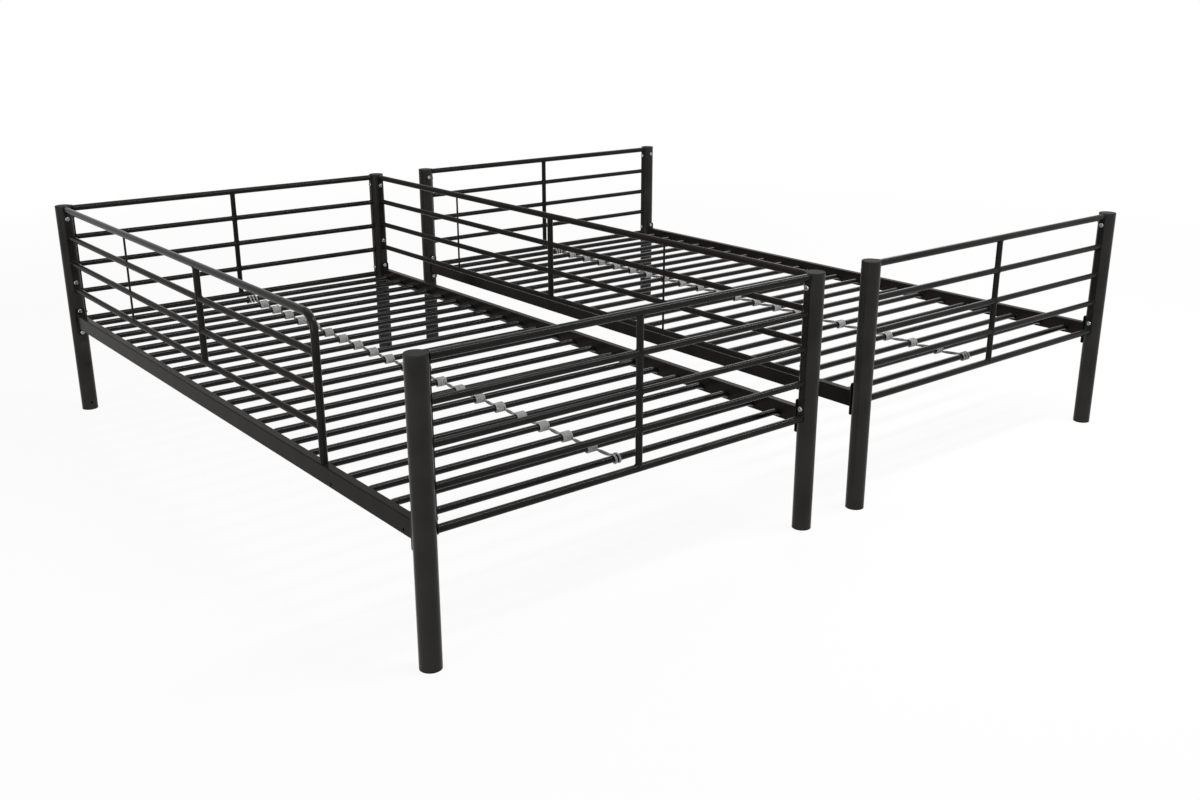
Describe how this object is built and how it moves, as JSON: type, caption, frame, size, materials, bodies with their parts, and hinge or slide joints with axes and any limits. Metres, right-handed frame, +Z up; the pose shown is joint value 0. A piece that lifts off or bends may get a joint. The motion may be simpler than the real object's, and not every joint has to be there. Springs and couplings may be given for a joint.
{
  "type": "metal bunk bed",
  "caption": "Steel bunk bed taken apart into its lower bed and its guarded upper bed, side by side, each with bolted end frames, tube slats and a wound cord.",
  "frame": {"origin": "on the floor in the middle of the two beds", "axes": "+X across both beds towards the lower bed, +Y from foot to head, +Z up"},
  "size_m": [2.2684, 1.995, 0.6127],
  "materials": {
    "black_powder_coat": "semi-gloss black powder coat",
    "zinc_steel": "bright zinc plate",
    "plated_steel": "dull zinc plate",
    "cap_plastic": "glossy black",
    "glide_plastic": "matt black",
    "grey_cord": "braided polyester"
  },
  "bodies": {
    "lower_bed": {"lower_foot_glides": "glide_plastic", "lower_foot_left_post": "black_powder_coat", "lower_foot_low_rail": "black_powder_coat", "lower_foot_rails": "black_powder_coat", "lower_foot_right_post": "black_powder_coat", "lower_foot_top_rail": "black_powder_coat", "lower_foot_upright": "black_powder_coat", "lower_frame_bolts": "zinc_steel", "lower_frame_strips": "black_powder_coat", "lower_head_left_post": "black_powder_coat", "lower_head_low_rail": "black_powder_coat", "lower_head_rails": "black_powder_coat", "lower_head_right_post": "black_powder_coat", "lower_head_top_rail": "black_powder_coat", "lower_head_upright": "black_powder_coat", "lower_insert_nuts": "zinc_steel", "lower_left_side_rail": "black_powder_coat", "lower_post_caps": "cap_plastic", "lower_rail_bolts": "zinc_steel", "lower_rail_end_plates": "black_powder_coat", "lower_right_side_rail": "black_powder_coat", "lower_slat_cord": "grey_cord", "lower_slats": "black_powder_coat", "lower_stacking_bolts": "zinc_steel", "lower_stacking_sleeves": "plated_steel"},
    "upper_bed": {"upper_back_guard_rails": "black_powder_coat", "upper_back_guard_rods": "black_powder_coat", "upper_back_guard_top_rail": "black_powder_coat", "upper_back_guard_upright": "black_powder_coat", "upper_foot_glides": "glide_plastic", "upper_foot_left_post": "black_powder_coat", "upper_foot_low_rail": "black_powder_coat", "upper_foot_rails": "black_powder_coat", "upper_foot_right_post": "black_powder_coat", "upper_foot_top_rail": "black_powder_coat", "upper_foot_upright": "black_powder_coat", "upper_frame_bolts": "zinc_steel", "upper_frame_strips": "black_powder_coat", "upper_front_guard_rails": "black_powder_coat", "upper_front_guard_rods": "black_powder_coat", "upper_front_guard_top_tube": "black_powder_coat", "upper_front_guard_upright": "black_powder_coat", "upper_guard_bolts": "zinc_steel", "upper_guard_foot_bolt": "zinc_steel", "upper_guard_foot_plug": "glide_plastic", "upper_guard_strips": "black_powder_coat", "upper_head_left_post": "black_powder_coat", "upper_head_low_rail": "black_powder_coat", "upper_head_rails": "black_powder_coat", "upper_head_right_post": "black_powder_coat", "upper_head_top_rail": "black_powder_coat", "upper_head_upright": "black_powder_coat", "upper_insert_nuts": "zinc_steel", "upper_left_side_rail": "black_powder_coat", "upper_post_caps": "cap_plastic", "upper_rail_bolts": "zinc_steel", "upper_rail_end_plates": "black_powder_coat", "upper_right_side_rail": "black_powder_coat", "upper_slat_cord": "grey_cord", "upper_slats": "black_powder_coat"}
  },
  "joints": [
    {"name": "upper_bed_lift", "type": "slide", "parent": "lower_bed", "child": "upper_bed", "axis": [0, 0, 1], "range_m": [0, 0.75]}
  ]
}
